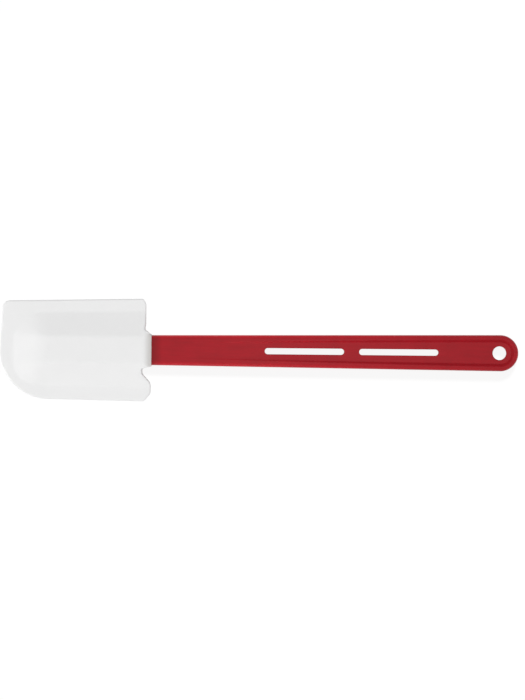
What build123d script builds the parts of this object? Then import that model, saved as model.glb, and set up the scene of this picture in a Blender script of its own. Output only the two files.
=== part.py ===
from build123d import *
import math
import os

# A flat kitchen scraper: a soft silicone blade pushed onto the tang of a moulded nylon handle.
# All sizes are in millimetres. X runs from the blade's front edge to the hanging hole, and Z is up.
# Y points to the blade's straight long edge with the square front corner.
# The origin lies under the middle of the whole scraper, on the surface that the blade rests on.

# Blade outline, seen from above. Places behind the front edge are measured from its middle.
blade_length = 103.2
blade_rear_width = 70.8
blade_front_width = 67.4
front_edge_lean = 0.9
square_corner_radius = 4.0
round_corner_overreach = 1.5

# Blade rear edge, seen from above. Setbacks are measured forwards from the collar's end.
rear_edge_setback = 3.2
rear_corner_length = 2.7
rear_corner_width = 4.3
rear_corner_radius = 3.0
flare_width = 3.2
flare_foot_length = 1.2
flare_radius = 2.0
notch_depth = 5.6
notch_width = 3.5
notch_radius = 0.9
collar_corner_radius = 0.6
lobe_start_width = 11.9
lobe_end_width = 17.6
lobe_overhang = 0.3
lobe_start_radius = 3.2
lobe_end_radius = 2.5
lobe_trim_angle = 51

# Blade thickness. It is thick along the middle and thin along its lip.
lip_width = 8.8
lip_edge_thickness = 1.6
lip_edge_chamfer = 0.45
lip_foot_thickness = 2.6
body_corner_share = 0.8
crest_width = 18.2
crest_setback = 32.0
crest_corner_radius = 7.0
crest_wall = 2.0
collar_wall = 0.85
collar_slope_length = 5.5

# Handle bar, seen from above and from the side
handle_length = 251.8
handle_neck_width = 20.45
handle_end_width = 24.7
handle_thickness = 8.0
handle_edge_radius = 2.4

# Sunk panel on both faces of the handle, which deepens towards the hanging hole
panel_start = 27.0
panel_depth = 1.5
panel_rim_width = 3.3
panel_wall_width = 1.1

# Slots and hanging hole of the handle, placed from its rounded end
slot_count = 2
slot_length = 54.4
slot_width = 4.25
slot_spacing = 64.7
slot_from_hole = 69.0
hang_hole_diameter = 9.4
hang_hole_setback = 12.9
hole_edge_radius = 0.35

# Tang inside the blade. The handle's neck enters the collar and then steps down to it.
neck_insert_length = 6.0
tang_length = 58.0
tang_side_step = 1.7
tang_face_step = 1.4
tang_tip_side_step = 0.7
tang_tip_face_step = 0.4
tang_edge_chamfer = 0.8
tang_corner_radius = 1.0
core_count = 4
core_depth = 0.9
core_margin = 2.6
core_rib_width = 3.0
core_corner_radius = 1.5

# Fit of the blade on the handle
push_fit_clearance = 0.1
seat_clearance = 0.3

# How far cutting shapes run past what they cut
overrun = 4.0

# Sizes that follow from the ones above
overall_length = blade_length + handle_length
round_corner_radius = blade_front_width / 2 + round_corner_overreach
body_corner_radius = (blade_front_width / 2 - lip_width) * body_corner_share
blade_thickness = handle_thickness + 2 * crest_wall
collar_end_thickness = handle_thickness + 2 * collar_wall
collar_half_width = handle_neck_width / 2 + collar_wall
mid_height = blade_thickness / 2
shoulder = blade_length - neck_insert_length
end_radius = handle_end_width / 2
tang_tip = shoulder - tang_length


def from_front(distance):
    """Return the X place that lies this far behind the middle of the blade's front edge."""
    return distance - overall_length / 2


def handle_taper():
    """Return the angle between the handle's long edge and its middle line, in radians."""
    run = handle_length - end_radius
    half_neck = handle_neck_width / 2
    return math.asin(end_radius / math.hypot(run, half_neck)) - math.atan2(half_neck, run)


def handle_half_width(distance):
    """Return half the handle's width at this distance behind the blade's front edge."""
    return handle_neck_width / 2 + (distance - blade_length) * math.tan(handle_taper())


def level_curve(front, lean, half_front, half_rear, square_radius, round_radius, height):
    """Return a level curve of the blade as a face, with its square corner at +Y and its round one at -Y."""
    rear = from_front(blade_length + overrun)
    corners = [
        (rear, half_rear),
        (from_front(front + lean), half_front),
        (from_front(front - lean), -half_front),
        (rear, -half_rear),
    ]
    outline = make_face(Polyline(*corners, close=True))
    square = outline.vertices().sort_by_distance(corners[1])[0]
    outline = fillet(square, square_radius)
    rounded = outline.vertices().sort_by_distance(corners[2])[0]
    outline = fillet(rounded, round_radius)
    return Pos(0, 0, height) * outline


def blade_level(inset, height, square_radius, round_radius):
    """Return the blade's outline, moved in by this inset, at this height above its middle plane."""
    rear_run = blade_length - rear_edge_setback
    side_slope = (blade_rear_width - blade_front_width) / 2 / rear_run
    half_front = blade_front_width / 2 + inset * side_slope - inset
    half_rear = blade_rear_width / 2 + (rear_edge_setback + overrun) * side_slope - inset
    return level_curve(inset, front_edge_lean, half_front, half_rear, square_radius, round_radius, height)


def blade_levels():
    """Return the level curves of the blade's upper half, from its middle plane to its crest."""
    half_edge = lip_edge_thickness / 2
    round_foot = round_corner_radius - lip_width
    half_crest = crest_width / 2
    return [
        blade_level(0, half_edge - lip_edge_chamfer, square_corner_radius, round_corner_radius),
        blade_level(
            lip_edge_chamfer,
            half_edge,
            square_corner_radius - lip_edge_chamfer,
            round_corner_radius - lip_edge_chamfer,
        ),
        blade_level(lip_width, lip_foot_thickness / 2, body_corner_radius, round_foot),
        level_curve(
            crest_setback,
            0,
            half_crest,
            half_crest,
            crest_corner_radius,
            crest_corner_radius,
            blade_thickness / 2,
        ),
    ]


def rear_outline():
    """Return a face that covers the blade as far as its rear edge, collar, notch and lobe."""
    collar_end = from_front(blade_length)
    rear = collar_end - rear_edge_setback
    lobe = collar_end + lobe_overhang
    front = from_front(-overrun)
    half_blade = blade_rear_width / 2
    far = half_blade + overrun
    corner_lean = rear_corner_length / rear_corner_width
    lobe_end = -collar_half_width - lobe_end_width
    trim_run = (far + lobe_end) / math.tan(math.radians(lobe_trim_angle))
    corners = [
        (front, far),
        (rear - rear_corner_length - overrun * corner_lean, far),
        (rear, half_blade - rear_corner_width),
        (rear, collar_half_width + flare_width),
        (collar_end - flare_foot_length, collar_half_width),
        (collar_end, collar_half_width),
        (collar_end, -collar_half_width),
        (collar_end - notch_depth, -collar_half_width - notch_width),
        (lobe, -collar_half_width - lobe_start_width),
        (lobe, lobe_end),
        (lobe - trim_run, -far),
        (front, -far),
    ]
    rounded_corners = {
        2: rear_corner_radius,
        4: flare_radius,
        6: collar_corner_radius,
        7: notch_radius,
        8: lobe_start_radius,
        9: lobe_end_radius,
    }
    outline = make_face(Polyline(*corners, close=True))
    for index, radius in rounded_corners.items():
        vertex = outline.vertices().sort_by_distance(corners[index])[0]
        outline = fillet(vertex, radius)
    return outline


def collar_slopes():
    """Return the two wedges that thin the collar down towards the handle."""
    start = from_front(blade_length - collar_slope_length)
    end = from_front(blade_length)
    drop = (blade_thickness - collar_end_thickness) / 2
    slope = drop / collar_slope_length
    top = blade_thickness / 2
    wedge = make_face(
        Polyline(
            (start, 0, top),
            (end + overrun, 0, top - drop - overrun * slope),
            (end + overrun, 0, top + overrun),
            (start, 0, top + overrun),
            close=True,
        )
    )
    upper = extrude(wedge, blade_rear_width, dir=(0, 1, 0), both=True)
    return [upper, mirror(upper, about=Plane.XY)]


def neck_section(distance, clearance):
    """Return the handle's rounded section at this distance, grown by a clearance all round."""
    width = 2 * (handle_half_width(distance) + clearance)
    thickness = handle_thickness + 2 * clearance
    plane = Plane(origin=(from_front(distance), 0, 0), x_dir=(0, 1, 0), z_dir=(1, 0, 0))
    return plane * RectangleRounded(width, thickness, handle_edge_radius + clearance)


def tang_section(distance, clearance):
    """Return the tang's rounded section at this distance, grown by a clearance all round."""
    share = (shoulder - distance) / tang_length
    side_step = tang_side_step + tang_tip_side_step * share
    face_step = tang_face_step + tang_tip_face_step * share
    width = 2 * (handle_half_width(shoulder) - side_step + clearance)
    thickness = handle_thickness - 2 * face_step + 2 * clearance
    plane = Plane(origin=(from_front(distance), 0, 0), x_dir=(0, 1, 0), z_dir=(1, 0, 0))
    return plane * RectangleRounded(width, thickness, tang_corner_radius + clearance)


def pocket():
    """Return the hollow that the neck and the tang fill, with the push fit's clearance."""
    neck_floor = shoulder - seat_clearance
    neck = loft(
        [
            neck_section(neck_floor, push_fit_clearance),
            neck_section(blade_length + overrun, push_fit_clearance),
        ],
        ruled=True,
    )
    tang = loft(
        [
            tang_section(tang_tip - seat_clearance, push_fit_clearance),
            tang_section(blade_length, push_fit_clearance),
        ],
        ruled=True,
    )
    return neck + tang


def make_blade():
    """Return the silicone blade around its middle plane."""
    upper = blade_levels()
    lower = [mirror(level, about=Plane.XY) for level in reversed(upper)]
    body = loft(lower + upper, ruled=True)
    trim = extrude(rear_outline(), blade_thickness, both=True)
    body = body & trim
    for wedge in collar_slopes():
        body -= wedge
    return body - pocket()


def handle_plan(inset, start):
    """Return the handle's outline from above, moved in by this inset, from this distance to its end."""
    taper = handle_taper()
    centre = from_front(overall_length - end_radius)
    radius = end_radius - inset
    touch_x = centre - radius * math.sin(taper)
    touch_y = radius * math.cos(taper)
    start_x = from_front(start)
    start_y = touch_y - (touch_x - start_x) * math.tan(taper)
    outline = Polyline((touch_x, -touch_y), (start_x, -start_y), (start_x, start_y), (touch_x, touch_y))
    outline += ThreePointArc((touch_x, touch_y), (centre + radius, 0), (touch_x, -touch_y))
    return make_face(outline)


def panel_cut():
    """Return the cutter of the upper sunk panel, whose floor slopes down towards the rounded end."""
    top = handle_thickness / 2
    start = blade_length + panel_start
    deep = overall_length - panel_rim_width
    slope = panel_depth / (deep - start)
    wall_slope = panel_wall_width / panel_depth
    low = top - panel_depth - overrun
    high = top + overrun
    low_inset = panel_rim_width + (top - low) * wall_slope
    high_inset = panel_rim_width + (top - high) * wall_slope
    walls = loft(
        [
            Pos(0, 0, low) * handle_plan(low_inset, start - overrun),
            Pos(0, 0, high) * handle_plan(high_inset, start - overrun),
        ],
        ruled=True,
    )
    begin_x = from_front(start)
    finish_x = from_front(overall_length + overrun)
    wedge = make_face(
        Polyline(
            (begin_x, 0, top),
            (finish_x, 0, top - slope * (finish_x - begin_x)),
            (finish_x, 0, high + overrun),
            (begin_x, 0, high + overrun),
            close=True,
        )
    )
    return walls & extrude(wedge, handle_end_width, dir=(0, 1, 0), both=True)


def through_holes():
    """Return the cutters of the slots and of the hanging hole."""
    hole_x = from_front(overall_length - hang_hole_setback)
    cutters = [Pos(hole_x, 0, 0) * Cylinder(hang_hole_diameter / 2, handle_thickness + overrun)]
    for index in range(slot_count):
        slot_x = hole_x - slot_from_hole - index * slot_spacing
        slot = Pos(slot_x, 0, 0) * SlotOverall(slot_length, slot_width)
        cutters.append(extrude(slot, handle_thickness, both=True))
    return cutters


def tang_cores():
    """Return the shallow cores on both faces of the tang, which keep the moulding's walls even."""
    pitch = (tang_length - core_rib_width) / core_count
    half_tip = handle_half_width(shoulder) - tang_side_step - tang_tip_side_step
    core = RectangleRounded(pitch - core_rib_width, 2 * (half_tip - core_margin), core_corner_radius)
    cores = []
    for index in range(core_count):
        place = tang_tip + core_rib_width + (index + 1 / 2) * pitch - core_rib_width / 2
        share = (shoulder - place) / tang_length
        face = handle_thickness / 2 - tang_face_step - tang_tip_face_step * share
        cutter = extrude(Pos(from_front(place), 0, face - core_depth) * core, core_depth + overrun)
        cores += [cutter, mirror(cutter, about=Plane.XY)]
    return cores


def make_tang():
    """Return the tang, tapered towards its tip so that the blade slides on easily."""
    tang = loft([tang_section(tang_tip, 0), tang_section(shoulder + overrun, 0)], ruled=True)
    tip = tang.faces().sort_by(Axis.X)[0]
    tang = chamfer(tip.edges(), tang_edge_chamfer)
    for core in tang_cores():
        tang -= core
    return tang


def make_handle():
    """Return the nylon handle around its middle plane."""
    bar = extrude(handle_plan(0, shoulder), handle_thickness / 2, both=True)
    rims = bar.faces().filter_by(Axis.Z)
    shoulder_x = from_front(shoulder)
    long_edges = [edge for edge in rims.edges() if edge.center().X > shoulder_x + overrun]
    bar = fillet(long_edges, handle_edge_radius)
    panel = panel_cut()
    bar -= panel
    bar -= mirror(panel, about=Plane.XY)
    holes = through_holes()
    for cutter in holes:
        bar -= cutter
    floors = [face for face in bar.faces() if len(face.inner_wires()) == len(holes)]
    rings = [wire for face in floors for wire in face.inner_wires()]
    bar = fillet([edge for ring in rings for edge in ring.edges()], hole_edge_radius)
    return bar + make_tang()


os.makedirs("parts", exist_ok=True)
nodes = {"blade": make_blade(), "handle": make_handle()}
for name, solid in nodes.items():
    export_step(Pos(0, 0, mid_height) * solid, f"parts/{name}.step")
    print(name, "volume", round(solid.volume), "solids", len(solid.solids()))
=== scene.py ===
# %% [markdown]
# A silicone spatula, modelled for a picture.
# The real thing is two mouldings: a white silicone blade, and a red nylon handle whose tang goes into it.
# The engineering model already says where everything is, so this lesson loads it first and builds on it.
# Both mouldings are made again here as finished meshes, because soft edges, blended slopes and moulded
# surfaces are what the eye reads in a plain object like this one.

# %% Load the engineering model
import math

import bmesh
import bpy
from mathutils import Matrix, Vector


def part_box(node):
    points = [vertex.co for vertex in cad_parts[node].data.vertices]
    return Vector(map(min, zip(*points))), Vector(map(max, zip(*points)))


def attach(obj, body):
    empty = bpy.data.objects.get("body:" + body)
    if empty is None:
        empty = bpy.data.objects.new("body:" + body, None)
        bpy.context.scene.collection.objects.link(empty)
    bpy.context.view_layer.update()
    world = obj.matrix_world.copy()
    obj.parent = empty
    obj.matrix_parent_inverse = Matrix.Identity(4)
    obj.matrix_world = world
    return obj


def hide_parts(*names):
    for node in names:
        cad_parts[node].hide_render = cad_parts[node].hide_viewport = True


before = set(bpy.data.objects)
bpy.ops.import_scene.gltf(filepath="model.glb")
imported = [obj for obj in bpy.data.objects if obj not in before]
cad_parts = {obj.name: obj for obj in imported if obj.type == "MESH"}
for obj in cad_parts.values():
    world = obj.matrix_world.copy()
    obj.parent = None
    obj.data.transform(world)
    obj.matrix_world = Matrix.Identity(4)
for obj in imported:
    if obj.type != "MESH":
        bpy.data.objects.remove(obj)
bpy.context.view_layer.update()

print("pieces in the engineering model:", sorted(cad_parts))

# %% [markdown]
# A maker's drawing is in millimetres, and Blender's unit is the metre. Typing 0.0044 again and again
# invites slips, so each piece is drawn flat in millimetres, like the drawing, and moved into place once,
# when it is finished.
# On the drawing, x is the distance behind the blade's front edge and y is the distance from the middle line.
# The drawing's zero height is the mid-plane, where the two halves of both moulds meet.

# %% Places that come from the engineering model
millimetre = 0.001
blade_low, blade_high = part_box("blade")
handle_low, handle_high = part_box("handle")
overall_length = 355.0
front_place = handle_high.x - overall_length * millimetre
middle_height = (blade_low.z + blade_high.z) / 2
half_crest = (blade_high.z - blade_low.z) / 2 / millimetre
half_bar = (handle_high.z - handle_low.z) / 2 / millimetre
tang_tip = (handle_low.x - front_place) / millimetre
to_frame = Matrix.Translation((front_place, 0, middle_height)) @ Matrix.Scale(millimetre, 4)
print("half thickness of blade and bar in mm:", round(half_crest, 2), round(half_bar, 2))

# %% [markdown]
# Both mouldings are flat shapes with worked edges, so the same few steps serve both.
# Drawing a face through sharp corners and then bevelling each corner is how a draughtsman does it,
# and it keeps the numbers few: every round stretch is one corner with one radius.
# Pasting in a list of outline points would be the other way, and it could hardly be changed afterwards.

# %% Draw a flat face with rounded corners
arc_step = 0.9
fewest_arc_steps = 4


def rounded_face(bm, corners):
    """Draw a flat face through (x, y, radius) corners and bevel each corner to its radius."""
    verts = [bm.verts.new((x, y, 0)) for x, y, radius in corners]
    bm.faces.new(verts)
    for vert, (x, y, radius) in zip(verts, corners):
        first, second = [edge.other_vert(vert).co - vert.co for edge in vert.link_edges]
        turn = math.pi - first.angle(second)
        steps = max(fewest_arc_steps, round(radius * turn / arc_step))
        bmesh.ops.bevel(
            bm,
            geom=[vert],
            offset=radius * math.tan(turn / 2),
            offset_type="OFFSET",
            segments=steps,
            profile=0.5,
            affect="VERTICES",
            clamp_overlap=False,
            material=-1,
        )
    return bm.faces[:][0]


# %% Split long edges and cut across
reuse_distance = 0.1


def split_long_edges(bm, edges, limit):
    """Give long straight edges vertices in between, so that a later height can curve along them."""
    for edge in edges:
        cuts = int(edge.calc_length() / limit)
        if cuts:
            bmesh.ops.bisect_edges(bm, edges=[edge], cuts=cuts)


def cut_across(bm, place, direction, drop_behind=False):
    """Cut the whole mesh with a plane, and use vertices that already lie near it."""
    bmesh.ops.bisect_plane(
        bm,
        geom=bm.verts[:] + bm.edges[:] + bm.faces[:],
        dist=reuse_distance,
        plane_co=place,
        plane_no=direction,
        clear_inner=drop_behind,
    )


# %% Inset a face in rings, and follow a quarter round
def inset_rings(bm, face, layer, depths):
    """Inset a face step by step, and note on each vertex how far it lies inside the outline."""
    done = 0
    for depth in depths:
        bmesh.ops.inset_individual(bm, faces=[face], thickness=depth - done, use_even_offset=True)
        for vert in face.verts:
            vert[layer] = depth
        done = depth


def round_over(radius, steps):
    """Return the insets at which a quarter round of this radius has its rings, from its side to its top."""
    return [radius * (1 - math.cos(math.pi / 2 * step / steps)) for step in range(1, steps + 1)]


def fall(radius, inset):
    """Return how far a round edge lies below its top at this inset, as a share of its height."""
    reach = min(max(1 - inset / radius, 0), 1)
    return 1 - math.sqrt(1 - reach * reach)


# %% [markdown]
# A half is closed by pulling its open edge down to the mid-plane and mirroring it.
# Two mould halves never meet perfectly: a hair of material gets between them and leaves the parting line,
# which the fingers find on every moulded handle. Here the mid-plane's ring of vertices stands out a little.

# %% Close a half into a whole moulding
parting_height = 0.16
parting_stand = 0.05
merge_distance = 0.001


def pull_down(bm, edges, height):
    """Extrude these edges straight down to this height and return the new edges and vertices."""
    made = bmesh.ops.extrude_edge_only(bm, edges=edges)["geom"]
    verts = [part for part in made if isinstance(part, bmesh.types.BMVert)]
    for vert in verts:
        vert.co.z = height
    return [part for part in made if isinstance(part, bmesh.types.BMEdge)], verts


def close_halves(bm, rims):
    """Give the half its walls and its parting line, and mirror it at the mid-plane."""
    lower, verts = pull_down(bm, rims, parting_height)
    lower, verts = pull_down(bm, lower, 0)
    bm.normal_update()
    for vert in verts:
        outward = Vector((vert.normal.x, vert.normal.y, 0)).normalized()
        vert.co += outward * parting_stand
    whole = bm.verts[:] + bm.edges[:] + bm.faces[:]
    bmesh.ops.mirror(
        bm, geom=whole, matrix=Matrix.Identity(4), merge_dist=merge_distance, axis="Z"
    )
    bmesh.ops.remove_doubles(bm, verts=bm.verts[:], dist=merge_distance)
    open_edges = [edge for edge in bm.edges if edge.is_boundary]
    if open_edges:
        bmesh.ops.holes_fill(bm, edges=open_edges, sides=0)
    bmesh.ops.recalc_face_normals(bm, faces=bm.faces[:])


# %% [markdown]
# A finished bmesh becomes an object. A Boolean joins or cuts whole objects, so it runs once on two of them
# and only its result is kept. The last helper moves a piece from the drawing into the frame, hangs it on the
# body it rides on, hides the engineering piece it stands for, and measures whether it is closed.

# %% Turn a bmesh into an object, and combine two objects
def make_object(bm, name):
    """Make an object from the bmesh, which is still in the drawing's millimetres."""
    mesh = bpy.data.meshes.new(name)
    bm.to_mesh(mesh)
    bm.free()
    piece = bpy.data.objects.new(name, mesh)
    bpy.context.scene.collection.objects.link(piece)
    return piece


def combine(piece, tool, operation):
    """Join another object to this one, or cut it away, and keep only the result."""
    modifier = piece.modifiers.new("combine", "BOOLEAN")
    modifier.object = tool
    modifier.operation = operation
    modifier.solver = "EXACT"
    depsgraph = bpy.context.evaluated_depsgraph_get()
    result = bpy.data.meshes.new_from_object(piece.evaluated_get(depsgraph))
    piece.modifiers.clear()
    piece.data = result
    bpy.data.objects.remove(tool)


# %% Settle a finished piece
sharp_angle = math.radians(38)


def settle(piece, body, node):
    """Move the finished mesh into the frame, hang it on its body and hide the engineering piece it stands
    for.
    """
    mesh = piece.data
    mesh.transform(to_frame)
    mesh.polygons.foreach_set("use_smooth", [True] * len(mesh.polygons))
    mesh.set_sharp_from_angle(angle=sharp_angle)
    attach(piece, body)
    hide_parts(node)
    check = bmesh.new()
    check.from_mesh(mesh)
    loose = sum(not edge.is_manifold for edge in check.edges)
    volume = check.calc_volume(signed=True) / millimetre**3
    check.free()
    print(piece.name, "faces", len(mesh.polygons), "open edges", loose, "mm3", round(volume))


# %% [markdown]
# The blade is one silicone moulding. Seen from above it has a square front corner for the corners of a tin,
# a big round one for bowls, and a rear edge with a short collar round the handle. Beside the collar
# a notch and a rounded lobe hook over the rim of a bowl.
# Its outline is drawn first as one flat face. Each of its corners has a place, a side and a radius.

# %% Sizes of the blade's outline
front_half_width = 33.4
side_flare_share = 0.0172
square_side_trim = 0.27
front_lean = 1.3
square_corner = 5.2
round_corner = 32.8
rear_place = 99.7
rear_corner_length = 1.9
rear_corner_width = 3.6
rear_corner = 2.4
outer_rear_corner = 1.2
lobe_trim_corner = 2.6
collar_end = 103.6
collar_half_width = 11.1
collar_corner = 1.1
collar_foot = 0.7
flare_width = 3.2
flare_start_radius = 1.2
flare_end_radius = 1.2
dip_depth = 0.55
dip_width = 4.0
dip_radius = 6.0
notch_depth = 6.5
notch_width = 1.5
notch_radius = 1.5
notch_end_depth = 6.2
notch_end_width = 5.1
notch_end_radius = 2.5
lobe_place = 103.1
lobe_start_width = 11.4
lobe_start_radius = 4.4
lobe_end_width = 18.5
lobe_end_radius = 4.0
lobe_trim_slope = math.tan(math.radians(51))
print("blade is", rear_place, "mm long without its collar and lobe")


# %% Corners of the blade's outline
def side_width(place):
    """Return half the blade's width at this distance behind its front edge."""
    return front_half_width + place * side_flare_share


rear_half_width = side_width(rear_place)
lobe_end = collar_half_width + lobe_end_width
trim_place = lobe_place - (rear_half_width - lobe_end) / lobe_trim_slope
blade_corners = [
    (front_lean, front_half_width - square_side_trim, square_corner),
    (-front_lean, -front_half_width, round_corner),
    (trim_place, -side_width(trim_place), lobe_trim_corner),
    (lobe_place, -lobe_end, lobe_end_radius),
    (lobe_place, -collar_half_width - lobe_start_width, lobe_start_radius),
    (collar_end - notch_end_depth, -collar_half_width - notch_end_width, notch_end_radius),
    (collar_end - notch_depth, -collar_half_width - notch_width, notch_radius),
    (collar_end, -collar_half_width, collar_corner),
    (collar_end, collar_half_width, collar_corner),
    (collar_end - collar_foot, collar_half_width, flare_end_radius),
    (rear_place - dip_depth, collar_half_width + flare_width, flare_start_radius),
    (rear_place, collar_half_width + flare_width + dip_width, dip_radius),
    (rear_place, rear_half_width - rear_corner_width, rear_corner),
    (rear_place - rear_corner_length, side_width(rear_place - rear_corner_length), outer_rear_corner),
]
print("blade outline has", len(blade_corners), "corners")

# %% Draw the blade's outline and inset its edge in rings
edge_inset = 0.95
edge_rings = 6
rim_split = 2.0

blade_bm = bmesh.new()
inset_layer = blade_bm.verts.layers.float.new("inset")
blade_face = rounded_face(blade_bm, blade_corners)
split_long_edges(blade_bm, blade_bm.edges[:], rim_split)
inset_rings(blade_bm, blade_face, inset_layer, round_over(edge_inset, edge_rings))
print("blade face has", len(blade_face.verts), "vertices round it")

# %% [markdown]
# The flat face has to become a slope that is thick along the middle and thin at its lips.
# A sculpted or subdivided cage would drift away from the outline, so the face is cut into a fine net
# and every vertex is lifted by one height rule, as a mould maker's cutter would follow it.

# %% Cut the blade's face into a net
net_size = 1.0

places = int(lobe_place / net_size)
for step in range(1, places + 1):
    cut_across(blade_bm, (step * net_size, 0, 0), (1, 0, 0))
lines = int(rear_half_width / net_size)
for step in range(-lines, lines + 1):
    cut_across(blade_bm, (0, step * net_size, 0), (0, 1, 0))
print("blade net has", len(blade_bm.faces), "faces")


# %% Blend two heights
def blended_minimum(first, second, blend):
    """Return the smaller of two heights, with the corner between them rounded over this much height."""
    closeness = max(blend - abs(first - second), 0) / blend
    return min(first, second) - closeness * closeness * blend / 4


def blended_maximum(first, second, blend):
    """Return the larger of two heights, with the corner between them filled over this much height."""
    return -blended_minimum(-first, -second, blend)


# %% [markdown]
# The height rule has three parts. The first says how far down its slope a place is. The second turns that
# into a thickness, with a level crest, a nearly level lip and a collar that slopes down to the handle.
# The third lowers the rings near the outline, so that the edge is round.

# %% How far down its slope a place is
crest_half_width = 9.1
crest_start = 27.5
lip_width = 8.8
side_blend_share = 0.08
front_blend_share = 0.3
square_power = 1.4
round_power = 2.0


def slope_share(place, side):
    """Return 0 on the crest and 1 along the lip's foot, and more on the lip, with round corners."""
    foot = side_width(place) - lip_width
    sideways = (abs(side) - crest_half_width) / (foot - crest_half_width)
    forwards = (crest_start - place) / (crest_start - lip_width)
    sideways = blended_maximum(sideways, 0, side_blend_share)
    forwards = blended_maximum(forwards, 0, front_blend_share)
    power = square_power if side > 0 else round_power
    return (sideways**power + forwards**power) ** (1 / power)


print("crest is", 2 * crest_half_width, "mm wide and the lip", lip_width)

# %% How thick the blade is
lip_foot_height = 1.25
lip_edge_height = 1.05
lip_blend = 0.16
collar_start = 99.8
collar_slope = 0.43
collar_blend = 2.6


def blade_height(place, side):
    """Return half the blade's thickness at this place, before its edge is rounded."""
    share = slope_share(place, side)
    body = half_crest - (half_crest - lip_foot_height) * share
    past_foot = min(max((share - 1) * (crest_start - lip_width) / lip_width, 0), 1)
    lip = lip_foot_height - (lip_foot_height - lip_edge_height) * past_foot
    body = blended_maximum(body, lip, lip_blend)
    down_collar = blended_maximum(place - collar_start, 0, collar_blend) * collar_slope
    return min(body, half_crest - down_collar)


print("collar ends", round(2 * blade_height(collar_end, 0), 2), "mm thick")

# %% Lift the blade's face and close the moulding
edge_height = 1.4
edge_height_share = 0.9
rear_edge_share = 0.36


def blade_edge_drop(place, side, inset, height):
    """Return how far the rounded edge lies below the face at this inset, with none along the collar."""
    if abs(side) < collar_half_width + flare_width / 2:
        return 0
    share = rear_edge_share if place > rear_place - rear_corner_length else edge_height_share
    return min(edge_height, height * share) * fall(edge_inset, inset)


for vert in blade_bm.verts:
    height = blade_height(vert.co.x, vert.co.y)
    vert.co.z = height - blade_edge_drop(vert.co.x, vert.co.y, vert[inset_layer], height)
close_halves(blade_bm, [edge for edge in blade_bm.edges if edge.is_boundary])
blade = make_object(blade_bm, "blade_moulding")
print("blade has", len(blade.data.polygons), "faces before its pocket is cut")

# %% [markdown]
# The blade grips the handle with a pocket: first a socket for the neck, then a narrower hollow for the tang.
# One function draws a tapered block. Two blocks are cut away here with a Boolean, as core pins leave their
# hollows in a real mould, and they are a little bigger than the nylon that fills them. A third is the tang.

# %% Draw a tapered block
long_edge_steps = 6


def tapered_block(start, end, start_half, end_half, edge):
    """Draw a block from start to end, with half sizes (width, height) at each end and rounded long edges."""
    bm = bmesh.new()
    bmesh.ops.create_cube(bm, size=1)
    for vert in bm.verts:
        half = end_half if vert.co.x > 0 else start_half
        vert.co.x = end if vert.co.x > 0 else start
        vert.co.y = math.copysign(half[0], vert.co.y)
        vert.co.z = math.copysign(half[1], vert.co.z)
    long_edges = [e for e in bm.edges if abs(e.verts[0].co.x - e.verts[1].co.x) > edge]
    bmesh.ops.bevel(
        bm,
        geom=long_edges,
        offset=edge,
        segments=long_edge_steps,
        profile=0.5,
        affect="EDGES",
        material=-1,
    )
    bmesh.ops.recalc_face_normals(bm, faces=bm.faces[:])
    return bm


# %% Sizes of the neck and the tang
shoulder = 97.2
taper = math.radians(0.506)
neck_half_width = 10.225
tang_side_step = 1.7
tang_face_step = 1.4
tang_tip_side_step = 0.7
tang_tip_face_step = 0.4


def bar_half_width(place):
    """Return half the handle's width at this distance behind the blade's front edge."""
    return neck_half_width + (place - collar_end) * math.tan(taper)


def tang_half(place, grown):
    """Return the tang's half width and half height at this place, grown by a clearance."""
    share = (shoulder - place) / (shoulder - tang_tip)
    width = bar_half_width(shoulder) - tang_side_step - tang_tip_side_step * share
    return (width + grown, half_bar - tang_face_step - tang_tip_face_step * share + grown)


print("tang is", round(shoulder - tang_tip, 1), "mm long")

# %% Cut the pocket
push_fit = 0.1
seat = 0.3
overrun = 3.0
bar_edge = 3.0
tang_edge = 1.0

socket_start = shoulder - seat
socket_end = collar_end + overrun
socket = tapered_block(
    socket_start,
    socket_end,
    (bar_half_width(socket_start) + push_fit, half_bar + push_fit),
    (bar_half_width(socket_end) + push_fit, half_bar + push_fit),
    bar_edge + push_fit,
)
hollow_start = tang_tip - seat
hollow = tapered_block(
    hollow_start,
    shoulder,
    tang_half(hollow_start, push_fit),
    tang_half(shoulder, push_fit),
    tang_edge + push_fit,
)
combine(blade, make_object(socket, "socket"), "DIFFERENCE")
combine(blade, make_object(hollow, "hollow"), "DIFFERENCE")
settle(blade, "blade", "blade")

# %% [markdown]
# The handle is a nylon bar that widens towards a round end. Both of its faces have a sunk panel that starts
# from nothing and gets deeper towards the hanging hole, so the rim round it is a level band.
# The round end is spun, which gives a true half circle, and the rest follows from insetting that one
# outline: first the rounded edge, then the rim, then the panel's wall.

# %% Draw the handle's outline
handle_end = overall_length
end_radius = 12.35
end_centre = handle_end - end_radius
end_steps = 44
spare_length = 10.0
drawing_start = shoulder - spare_length


def draw_bar(bm):
    """Draw the handle's outline as a flat face, with its round end spun about the end's centre."""
    touch_x = end_centre - end_radius * math.sin(taper)
    touch_y = end_radius * math.cos(taper)
    start_y = bar_half_width(drawing_start)
    touch = bm.verts.new((touch_x, -touch_y, 0))
    spun = bmesh.ops.spin(
        bm,
        geom=[touch],
        cent=(end_centre, 0, 0),
        axis=(0, 0, 1),
        angle=math.pi + 2 * taper,
        space=Matrix.Identity(4),
        steps=end_steps,
        use_merge=False,
    )
    last = [part for part in spun["geom_last"] if isinstance(part, bmesh.types.BMVert)][0]
    start = [bm.verts.new((drawing_start, side, 0)) for side in (start_y, -start_y)]
    corners = [last, *start, touch]
    for first, second in zip(corners, corners[1:]):
        bm.edges.new((first, second))
    face = bmesh.ops.edgeloop_fill(bm, edges=bm.edges[:])["faces"][0]
    if face.normal.z < 0:
        face.normal_flip()
    return face


print("handle is", 2 * end_radius, "mm wide at its end")

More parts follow.
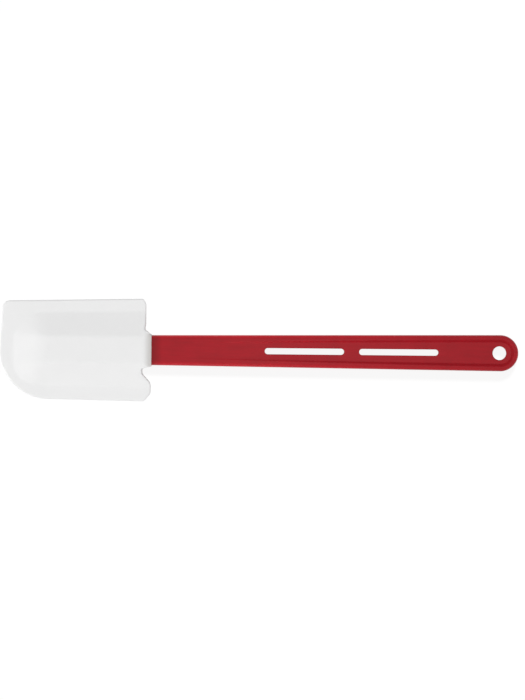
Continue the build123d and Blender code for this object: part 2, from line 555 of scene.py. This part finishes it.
# %% Inset the handle's outline in rings
bar_edge_rings = 10
floor_inset = 5.0
wall_ring_gap = 0.2
holding_ring = 0.25
wall_rings = round((floor_inset - bar_edge) / wall_ring_gap)
wall_insets = [bar_edge + wall_ring_gap * (step + 1) for step in range(wall_rings)]
bar_insets = round_over(bar_edge, bar_edge_rings) + wall_insets + [floor_inset + holding_ring]

bar_bm = bmesh.new()
bar_inset = bar_bm.verts.layers.float.new("inset")
bar_drop = bar_bm.verts.layers.float.new("drop")
bar_face = draw_bar(bar_bm)
inset_rings(bar_bm, bar_face, bar_inset, bar_insets)
print("handle outline rings:", len(bar_insets))

# %% [markdown]
# Two long slots and the hanging hole go right through. Each starts as its own small face whose rim is inset
# in a quarter round, as the real edges are softened so that they don't cut a finger or a cord.
# The panel's floor is then filled again between its own edge and the rims of these openings.

# %% Draw one opening
opening_edge = 0.5
opening_rings = 4


def draw_opening(bm, centre, radius, stretch, segments):
    """Draw a round opening, stretched to a slot, with a quarter round at its rim, and return that rim."""
    made = bmesh.ops.create_circle(bm, cap_ends=True, radius=radius + opening_edge, segments=segments)
    for vert in made["verts"]:
        vert.co.x += centre + math.copysign(stretch / 2, vert.co.x)
        vert[bar_inset] = floor_inset + holding_ring
    face = made["verts"][0].link_faces[0]
    done = 0
    for step in range(1, opening_rings + 1):
        angle = math.pi / 2 * step / opening_rings
        inset = opening_edge * math.sin(angle)
        ring = bmesh.ops.inset_individual(bm, faces=[face], thickness=inset - done, use_even_offset=True)
        if step == 1:
            rim = [edge for outer in ring["faces"] for edge in outer.edges if edge.is_boundary]
        for vert in face.verts:
            vert[bar_drop] = opening_edge * (1 - math.cos(angle))
        done = inset
    bmesh.ops.delete(bm, geom=[face], context="FACES_ONLY")
    return rim


# %% Slots and hanging hole
hole_radius = 4.7
hole_setback = 12.9
hole_segments = 64
slot_count = 2
slot_length = 54.4
slot_width = 4.25
slot_spacing = 64.7
slot_from_hole = 69.0
slot_segments = 42

floor_rim = bar_face.edges[:]
bmesh.ops.delete(bar_bm, geom=[bar_face], context="FACES_ONLY")
hole_place = handle_end - hole_setback
openings = [draw_opening(bar_bm, hole_place, hole_radius, 0, hole_segments)]
for index in range(slot_count):
    slot_place = hole_place - slot_from_hole - index * slot_spacing
    stretch = slot_length - slot_width
    openings.append(draw_opening(bar_bm, slot_place, slot_width / 2, stretch, slot_segments))
floor_edges = floor_rim + [edge for rim in openings for edge in rim]
bmesh.ops.triangle_fill(bar_bm, use_beauty=True, edges=floor_edges, normal=(0, 0, 1))
print("openings:", len(openings))

# %% [markdown]
# Up to here the handle is flat. Each vertex knows how far it lies inside the outline, so one height rule
# lifts them all: the rounded edge falls away, the rim stays level, and the panel's floor slopes down towards
# the hanging hole. Cuts across the bar give that slope the vertices it needs to curve.
# The walls of the openings go straight down to the mid-plane, and only the outer edge has a parting line.

# %% The handle's height rule
panel_start = 130.2
panel_depth = 2.3
panel_wall_slope = 1.05
panel_blend = 0.2
panel_power = 1.4


def bar_height(place, inset, drop):
    """Return the bar's height over its mid-plane: rounded edge, level rim, wall and sloping floor."""
    along = min(max((place - panel_start) / (handle_end - floor_inset - panel_start), 0), 1)
    depth = panel_depth * (1 - (1 - along) ** panel_power)
    wall = depth - (floor_inset - inset) * panel_wall_slope
    sunk = blended_maximum(blended_minimum(depth, wall, panel_blend), 0, panel_blend) if depth else 0
    return half_bar - max(sunk, 0) - bar_edge * fall(bar_edge, inset) - drop


# %% Lift the handle's face and close the moulding
panel_cut = 5.0

cut_count = int((end_centre - panel_start) / panel_cut)
for step in range(cut_count + 1):
    cut_across(bar_bm, (panel_start + step * panel_cut, 0, 0), (1, 0, 0))
cut_across(bar_bm, (shoulder, 0, 0), (1, 0, 0), drop_behind=True)
for vert in bar_bm.verts:
    vert.co.z = bar_height(vert.co.x, vert[bar_inset], vert[bar_drop])
rims = [
    edge for edge in bar_bm.edges
    if edge.is_boundary and max(vert.co.x for vert in edge.verts) > shoulder + seat
]
pull_down(bar_bm, [edge for edge in rims if edge.verts[0][bar_inset] > bar_edge], 0)
close_halves(bar_bm, [edge for edge in rims if edge.verts[0][bar_inset] < bar_edge])
handle = make_object(bar_bm, "handle_moulding")
print("bar has", len(handle.data.polygons), "faces before the tang is joined to it")

# %% [markdown]
# The tang is the part of the handle that nobody sees until the blade is pulled off. It is narrower and
# thinner than the bar, tapers to its tip so that the silicone slides on, and has shallow cores in both of
# its faces, because a thick nylon lump would sink as it cools. The cores are faces that are inset and
# pushed in, and their upright edges are rounded, as a cutter leaves them in the mould.

# %% Draw the tang and cut it into bands
core_count = 4
core_rib = 3.0
core_margin = 2.6

tang = tapered_block(
    tang_tip, shoulder + overrun, tang_half(tang_tip, 0), tang_half(shoulder + overrun, 0), tang_edge
)
core_pitch = (shoulder - tang_tip - core_rib) / core_count
core_half_width = tang_half(tang_tip, 0)[0] - core_margin
for index in range(core_count):
    start = tang_tip + core_rib + index * core_pitch
    cut_across(tang, (start, 0, 0), (1, 0, 0))
    cut_across(tang, (start + core_pitch - core_rib, 0, 0), (1, 0, 0))
for side in (-core_half_width, core_half_width):
    cut_across(tang, (0, side, 0), (0, 1, 0))
print("tang has", len(tang.faces), "faces")

# %% Push the cores in
core_depth = 0.9
core_draft = 0.35
level_enough = 0.9


def is_core(face):
    """Tell whether this face of the tang is the top of a core."""
    centre = face.calc_center_median()
    share = (centre.x - tang_tip - core_rib) / core_pitch
    in_band = 0 <= share < core_count and share % 1 < 1 - core_rib / core_pitch
    return in_band and abs(centre.y) < core_half_width and abs(face.normal.z) > level_enough


cores = [face for face in tang.faces if is_core(face)]
corners = {vert for face in cores for vert in face.verts}
bmesh.ops.inset_individual(tang, faces=cores, thickness=core_draft, depth=-core_depth, use_even_offset=True)
print("tang cores:", len(cores))

# %% Round the corners of the cores and the tip, and join the tang to the bar
core_corner = 1.4
core_corner_steps = 5
tang_softening = 0.3
tang_softening_steps = 3
tip_tolerance = 0.01

upright = dict.fromkeys(
    edge for face in cores for vert in face.verts for edge in vert.link_edges
    if len(corners & set(edge.verts)) == 1
)
bmesh.ops.bevel(
    tang,
    geom=list(upright),
    offset=core_corner,
    segments=core_corner_steps,
    profile=0.5,
    affect="EDGES",
    material=-1,
)
tip = [
    edge for edge in tang.edges
    if all(vert.co.x < tang_tip + tip_tolerance for vert in edge.verts)
]
bmesh.ops.bevel(
    tang,
    geom=tip,
    offset=tang_softening,
    segments=tang_softening_steps,
    profile=0.5,
    affect="EDGES",
    material=-1,
)
combine(handle, make_object(tang, "tang"), "UNION")
settle(handle, "handle", "handle")

# %% [markdown]
# Finishes. Colours are written as the hex values that a picture editor shows, and the renderer wants linear
# light, so one function converts them. Another small one adds a node, sets it and links it,
# which keeps each material short enough to read as a recipe.
# A Mix node's sockets share their names, so they are called by number: 2 and 3 mix numbers, 6 and 7 colours.

# %% Colour and node helpers
def colour(hex_value):
    """Return a linear RGBA colour from an sRGB hex value."""
    parts = [int(hex_value[i:i + 2], 16) / 255 for i in (1, 3, 5)]
    linear = [p / 12.92 if p <= 0.04045 else ((p + 0.055) / 1.055) ** 2.4 for p in parts]
    return (*linear, 1)


def add_node(tree, kind, inputs=None, **settings):
    """Add one shader node with its settings, and set or link its inputs."""
    node = tree.nodes.new(kind)
    for name, value in settings.items():
        setattr(node, name, value)
    for name, value in (inputs or {}).items():
        if isinstance(value, bpy.types.NodeSocket):
            tree.links.new(value, node.inputs[name])
        else:
            node.inputs[name].default_value = value
    return node


def new_material(name):
    """Start a material and return it with its node tree and its shader."""
    material = bpy.data.materials.new(name)
    material.use_nodes = True
    return material, material.node_tree, material.node_tree.nodes["Principled BSDF"]


def per_size(size):
    """Return the noise scale whose features are about this many millimetres apart."""
    return 1 / (size * millimetre)


# %% [markdown]
# The blade is silicone rubber, cured white in a spark-eroded mould. The mould's fine grit makes it matt,
# and light enters the thin lips a little and comes out again, so they look softer and lighter than the thick
# middle. Subsurface scattering gives that. A plain white diffuse would look like painted metal.
# The real grit is finer than a tenth of a millimetre. It is drawn a few times coarser, so that it shows.
# Over the neck the collar is only a skin, and there it is painted a darker, warmer grey: painted shade where
# the collar slopes down to the handle. That tint follows the place on the piece, so it is the same from
# every side.

# %% White silicone: its white
silicone_whites = ("#EAEAEA", "#EDEDED")
silicone_cloud = 14.0

silicone, tree, shader = new_material("matt_white_silicone_rubber")
place = add_node(tree, "ShaderNodeTexCoord").outputs["Object"]
cloud = add_node(
    tree, "ShaderNodeTexNoise", {"Vector": place, "Scale": per_size(silicone_cloud), "Detail": 2.0}
).outputs["Fac"]
whites = [colour(white) for white in silicone_whites]
tint = add_node(
    tree, "ShaderNodeMix", {"Factor": cloud, 6: whites[0], 7: whites[1]}, data_type="RGBA"
).outputs[2]
print("silicone whites:", silicone_whites)

# %% White silicone: painted shade on the skin over the neck
skin_shade_grey = "#D9D7D4"
skin_start = 98.6
skin_margin = 1.0

axes = add_node(tree, "ShaderNodeSeparateXYZ", {"Vector": place}).outputs
skin_from = front_place + skin_start * millimetre
skin_to = front_place + collar_end * millimetre
along_skin = add_node(
    tree, "ShaderNodeMapRange", {"Value": axes["X"], "From Min": skin_from, "From Max": skin_to}
).outputs["Result"]
off_middle = add_node(tree, "ShaderNodeMath", {0: axes["Y"]}, operation="ABSOLUTE").outputs[0]
skin_edge = (collar_half_width + skin_margin) * millimetre
skin_side = neck_half_width * millimetre
over_neck = add_node(
    tree, "ShaderNodeMapRange", {"Value": off_middle, "From Min": skin_edge, "From Max": skin_side}
).outputs["Result"]
# Painted shade: the skin over the neck is mixed towards a darker grey.
shaded_skin = add_node(tree, "ShaderNodeMath", {0: along_skin, 1: over_neck}, operation="MULTIPLY").outputs[0]
tint = add_node(
    tree, "ShaderNodeMix", {"Factor": shaded_skin, 6: tint, 7: colour(skin_shade_grey)}, data_type="RGBA"
).outputs[2]
tree.links.new(tint, shader.inputs["Base Color"])
print("skin runs from", skin_start, "to", collar_end, "mm")

# %% White silicone: its surface
silicone_grit = 0.35
grit_relief = 0.02
silicone_roughness = (0.46, 0.6)
light_reach = 1.2

grit = add_node(
    tree, "ShaderNodeTexNoise", {"Vector": place, "Scale": per_size(silicone_grit), "Detail": 3.0}
).outputs["Fac"]
smoothest, roughest = silicone_roughness
matt = add_node(
    tree, "ShaderNodeMapRange", {"Value": grit, "To Min": smoothest, "To Max": roughest}
)
bump = add_node(
    tree, "ShaderNodeBump", {"Height": grit, "Strength": 0.18, "Distance": grit_relief * millimetre}
)
tree.links.new(matt.outputs["Result"], shader.inputs["Roughness"])
tree.links.new(bump.outputs["Normal"], shader.inputs["Normal"])
shader.inputs["IOR"].default_value = 1.41
shader.inputs["Specular IOR Level"].default_value = 0.35
shader.inputs["Subsurface Weight"].default_value = 0.25
shader.inputs["Subsurface Radius"].default_value = (1.0, 1.0, 1.0)
shader.inputs["Subsurface Scale"].default_value = light_reach * millimetre
blade.data.materials.append(silicone)
print(silicone.name, "has", len(tree.nodes), "nodes")

# %% [markdown]
# The handle is nylon filled with short glass fibres and coloured through. It leaves the mould satin, with
# the melt's flow drawn out along the bar as faint lighter and darker streaks, and with a fine eroded grain.
# The streaks are a noise stretched along the handle, and broader clouds keep the red from looking printed.
# The grain, too, is drawn a few times coarser than the real one, so that it shows.
# Under the collar, and for a few millimetres beside it, the red is painted deeper: painted shade, where the
# collar stands over the bar.

# %% Red nylon: its streaks
nylon_reds = ("#960C19", "#A4121F")
flow_width = 1.6
flow_stretch_share = 0.07
cloud_width = 9.0
cloud_share = 0.45
cloud_contrast = (0.3, 0.7)

nylon, tree, shader = new_material("satin_glass_filled_nylon")
place = add_node(tree, "ShaderNodeTexCoord").outputs["Object"]
drawn = add_node(
    tree, "ShaderNodeMapping", {"Vector": place, "Scale": (flow_stretch_share, 1, 1)}
).outputs["Vector"]
flow = add_node(
    tree, "ShaderNodeTexNoise", {"Vector": drawn, "Scale": per_size(flow_width), "Detail": 4.0}
).outputs["Fac"]
cloud = add_node(
    tree, "ShaderNodeTexNoise", {"Vector": place, "Scale": per_size(cloud_width), "Detail": 2.0}
).outputs["Fac"]
both = add_node(
    tree, "ShaderNodeMix", {"Factor": cloud_share, 2: flow, 3: cloud}, data_type="FLOAT"
).outputs[0]
weakest, strongest = cloud_contrast
streaks = add_node(
    tree, "ShaderNodeMapRange", {"Value": both, "From Min": weakest, "From Max": strongest}
).outputs["Result"]
reds = [colour(red) for red in nylon_reds]
red = add_node(
    tree, "ShaderNodeMix", {"Factor": streaks, 6: reds[0], 7: reds[1]}, data_type="RGBA"
).outputs[2]
print("nylon reds:", nylon_reds)

# %% Red nylon: painted shade at the collar
seam_shade_red = "#820A14"
seam_dark_end = 1.4
seam_end = 7.5

along_bar = add_node(tree, "ShaderNodeSeparateXYZ", {"Vector": place}).outputs["X"]
seam_from = front_place + (collar_end + seam_dark_end) * millimetre
seam_to = front_place + (collar_end + seam_end) * millimetre
clear_of_seam_shade = add_node(
    tree, "ShaderNodeMapRange", {"Value": along_bar, "From Min": seam_from, "From Max": seam_to}
).outputs["Result"]
# Painted shade: the red is darkened under the collar and fades out a few millimetres past it.
red = add_node(
    tree, "ShaderNodeMix", {"Factor": clear_of_seam_shade, 6: colour(seam_shade_red), 7: red}, data_type="RGBA"
).outputs[2]
tree.links.new(red, shader.inputs["Base Color"])
print("deeper red ends", seam_end, "mm past the collar")

# %% Red nylon: its surface
grain_width = 0.4
grain_relief = 0.02
nylon_roughness = (0.36, 0.48)

grain = add_node(
    tree, "ShaderNodeTexNoise", {"Vector": place, "Scale": per_size(grain_width), "Detail": 3.0}
).outputs["Fac"]
smoothest, roughest = nylon_roughness
satin = add_node(
    tree, "ShaderNodeMapRange", {"Value": streaks, "To Min": smoothest, "To Max": roughest}
)
bump = add_node(
    tree, "ShaderNodeBump", {"Height": grain, "Strength": 0.2, "Distance": grain_relief * millimetre}
)
tree.links.new(satin.outputs["Result"], shader.inputs["Roughness"])
tree.links.new(bump.outputs["Normal"], shader.inputs["Normal"])
shader.inputs["IOR"].default_value = 1.53
shader.inputs["Specular IOR Level"].default_value = 0.22
handle.data.materials.append(nylon)
print(nylon.name, "has", len(tree.nodes), "nodes")

# %% [markdown]
# The picture is a catalogue one: straight down, on white, with hardly any shadow.
# The floor is a plain matt sheet. To the camera it is mostly a white of strength 1, with a small share of
# the real, lit sheet mixed in, so the shadow stays but is faint. Nothing extra shines on the object for it.
# From below the sheet is clear, so that the underside can be looked at.

# %% Floor
floor_half = 3.0

floor_mesh = bpy.data.meshes.new("floor")
floor_bm = bmesh.new()
bmesh.ops.create_grid(floor_bm, x_segments=1, y_segments=1, size=floor_half)
floor_bm.to_mesh(floor_mesh)
floor_bm.free()
floor = bpy.data.objects.new("floor", floor_mesh)
bpy.context.scene.collection.objects.link(floor)
print("floor is", 2 * floor_half, "m wide")

# %% The floor's white sheet
lit_share = 0.09
sheet_white = "#F2F2F2"
bounce_grey = "#A6A6A6"

sheet = bpy.data.materials.new("white_paper_sheet")
sheet.use_nodes = True
tree = sheet.node_tree
tree.nodes.clear()
rays = add_node(tree, "ShaderNodeLightPath").outputs
paper = add_node(
    tree,
    "ShaderNodeMix",
    {"Factor": rays["Is Diffuse Ray"], 6: colour(sheet_white), 7: colour(bounce_grey)},
    data_type="RGBA",
).outputs[2]
matt = add_node(tree, "ShaderNodeBsdfDiffuse", {"Color": paper}).outputs[0]
white = add_node(tree, "ShaderNodeEmission", {"Color": (1, 1, 1, 1), "Strength": 1.0}).outputs[0]
clear = add_node(tree, "ShaderNodeBsdfTransparent").outputs[0]
mirrored = add_node(
    tree, "ShaderNodeMath", {0: rays["Is Glossy Ray"], 1: rays["Is Transmission Ray"]}, operation="MAXIMUM"
).outputs[0]
to_camera = add_node(
    tree, "ShaderNodeMath", {0: rays["Is Camera Ray"], 1: 1 - lit_share}, operation="MULTIPLY"
).outputs[0]
whiteness = add_node(tree, "ShaderNodeMath", {0: mirrored, 1: to_camera}, operation="MAXIMUM").outputs[0]
top = add_node(tree, "ShaderNodeMixShader", {0: whiteness, 1: matt, 2: white}).outputs[0]
under = add_node(
    tree,
    "ShaderNodeMath",
    {0: add_node(tree, "ShaderNodeNewGeometry").outputs["Backfacing"], 1: rays["Is Camera Ray"]},
    operation="MULTIPLY",
).outputs[0]
shown = add_node(tree, "ShaderNodeMixShader", {0: under, 1: top, 2: clear}).outputs[0]
add_node(tree, "ShaderNodeOutputMaterial", {"Surface": shown})
floor_mesh.materials.append(sheet)
print(sheet.name, "has", len(tree.nodes), "nodes")

# %% [markdown]
# The world shines weakly on the object, and only the camera and reflections see it as white.
# Soft light all round and from above does most of the work. One soft lamp from the blade's front and lower
# side models its slopes: it makes the lower slope and the round corner a shade lighter than the crest, and
# the upper slope a shade darker. A weaker one from the same side does the same to the handle's panel.
# Light linking keeps each lamp to its own piece, and the floor's lamp comes from the other side,
# so that the handle's faint shadow falls along its lower edge.

# %% World
around = 0.3

world = bpy.data.worlds.new("studio")
bpy.context.scene.world = world
world.use_nodes = True
tree = world.node_tree
tree.nodes.clear()
rays = add_node(tree, "ShaderNodeLightPath").outputs
seen = add_node(
    tree, "ShaderNodeMath", {0: rays["Is Camera Ray"], 1: rays["Is Glossy Ray"]}, operation="MAXIMUM"
).outputs[0]
seen = add_node(
    tree, "ShaderNodeMath", {0: seen, 1: rays["Is Transmission Ray"]}, operation="MAXIMUM"
).outputs[0]
level = add_node(tree, "ShaderNodeMapRange", {"Value": seen, "To Min": around, "To Max": 1.0}).outputs[0]
sky = add_node(tree, "ShaderNodeBackground", {"Color": (1, 1, 1, 1), "Strength": level}).outputs[0]
add_node(tree, "ShaderNodeOutputWorld", {"Surface": sky})
print("world lights the object at", around)


# %% Lamps that light one piece only
def light_group(name, pieces):
    """Put pieces into a collection that a lamp's light linking can name."""
    group = bpy.data.collections.new(name)
    for piece in pieces:
        group.objects.link(piece)
    return group


def add_lamp(name, kind, lit):
    """Add a lamp that lights only the listed objects."""
    lamp = bpy.data.objects.new(name, bpy.data.lights.new(name, kind))
    bpy.context.scene.collection.objects.link(lamp)
    lamp.light_linking.receiver_collection = light_group(name + "_lights", lit)
    lamp.visible_camera = False
    lamp.visible_glossy = False
    return lamp


def add_sun(name, direction, share, spread, lit):
    """Add a soft far lamp that gives a surface square to it this share of full light."""
    lamp = add_lamp(name, "SUN", lit)
    lamp.data.energy = share * math.pi
    lamp.data.angle = math.radians(spread)
    lamp.rotation_euler = direction.to_track_quat("Z", "Y").to_euler()
    return lamp


# %% Far lamps
overhead = Vector((0, 0, 1))
from_front = Vector((-0.345, -0.16, 0.3))
from_far_side = Vector((0.1, 0.67, 0.75))

add_sun("blade_fill", overhead, share=0.4, spread=170, lit=[blade])
add_sun("blade_lamp", from_front, share=0.485, spread=30, lit=[blade])
add_sun("handle_fill", overhead, share=0.33, spread=110, lit=[handle])
add_sun("handle_lamp", from_front, share=0.1, spread=30, lit=[handle])
floor_lamp = add_sun("floor_lamp", from_far_side, share=1.35, spread=12, lit=[floor])
floor_lamp.light_linking.blocker_collection = light_group("floor_lamp_shadows", [handle])
print("far lamps:", len(bpy.data.lights))

# %% [markdown]
# The handle has a softbox over its middle, whose light falls off a little towards both ends,
# and a small lamp low on the near side, which draws a lighter line along its edge beside the blade.
# Its rounded edges look lighter than its flat faces, because the white sheet throws light back up at them
# from all round. That light comes from just below the level of the bar, so it can't reach the panel's walls.

# %% Add a lamp close by
def add_near_lamp(name, place, aim, share, size, lit):
    """Add a soft lamp close by, which gives a surface square to it at its aim this share of full light."""
    lamp = add_lamp(name, "AREA", lit)
    lamp.data.size = size
    lamp.data.energy = share * (math.pi * (place - aim).length) ** 2
    lamp.location = place
    lamp.rotation_euler = (place - aim).to_track_quat("Z", "Y").to_euler()
    return lamp


# %% The softbox and the lamp low on the near side
softbox_place = Vector((0.03, -0.03, 0.3))
softbox_aim = Vector((0.02, 0, 0.01))
low_aim = Vector((-0.03, 0, middle_height))
low_side = Vector((0, -0.15, 0.03))

add_near_lamp("handle_softbox", softbox_place, softbox_aim, share=0.3, size=0.25, lit=[handle])
add_near_lamp("low_side_lamp", low_aim + low_side, low_aim, share=0.4, size=0.08, lit=[handle])
print("lamps so far:", len(bpy.data.lights))

# %% The light that the sheet throws back
bounce_away = 0.25
bounce_low = -0.02
bounce_size = 0.1
neck_aim = Vector((-0.06, 0, middle_height))
end_aim = Vector((handle_high.x, 0, middle_height))

for name, aim, side, share in (
    ("near_bounce", neck_aim, Vector((0, -bounce_away, bounce_low)), 0.4),
    ("far_bounce", neck_aim, Vector((0, bounce_away, bounce_low)), 0.8),
    ("end_bounce", end_aim, Vector((bounce_away, 0, bounce_low)), 0.45),
):
    bounce = add_near_lamp(name, aim + side, aim, share=share, size=bounce_size, lit=[handle])
    bounce.light_linking.blocker_collection = light_group(name + "_shadows", [handle])
print("lamps:", len(bpy.data.lights))

# %% [markdown]
# The camera looks straight down from two metres with a long lens, so the object shows almost no perspective.
# It is turned by half a degree, because the spatula doesn't lie quite level in its picture.

# %% Camera
lens = 150.0
sensor = 36.0
picture_height = 480.1
camera_right = 2.13
camera_up = 0.77
camera_turn = 0.51

camera_data = bpy.data.cameras.new("camera")
camera_data.lens = lens
camera_data.sensor_width = sensor
camera = bpy.data.objects.new("camera", camera_data)
distance = picture_height * millimetre * lens / sensor
camera.location = (camera_right * millimetre, camera_up * millimetre, middle_height + distance)
camera.rotation_euler = (0, 0, math.radians(camera_turn))
bpy.context.scene.collection.objects.link(camera)
bpy.context.scene.camera = camera
bpy.context.scene.view_settings.view_transform = "Standard"
print("camera is", round(distance, 3), "m above the mid-plane")
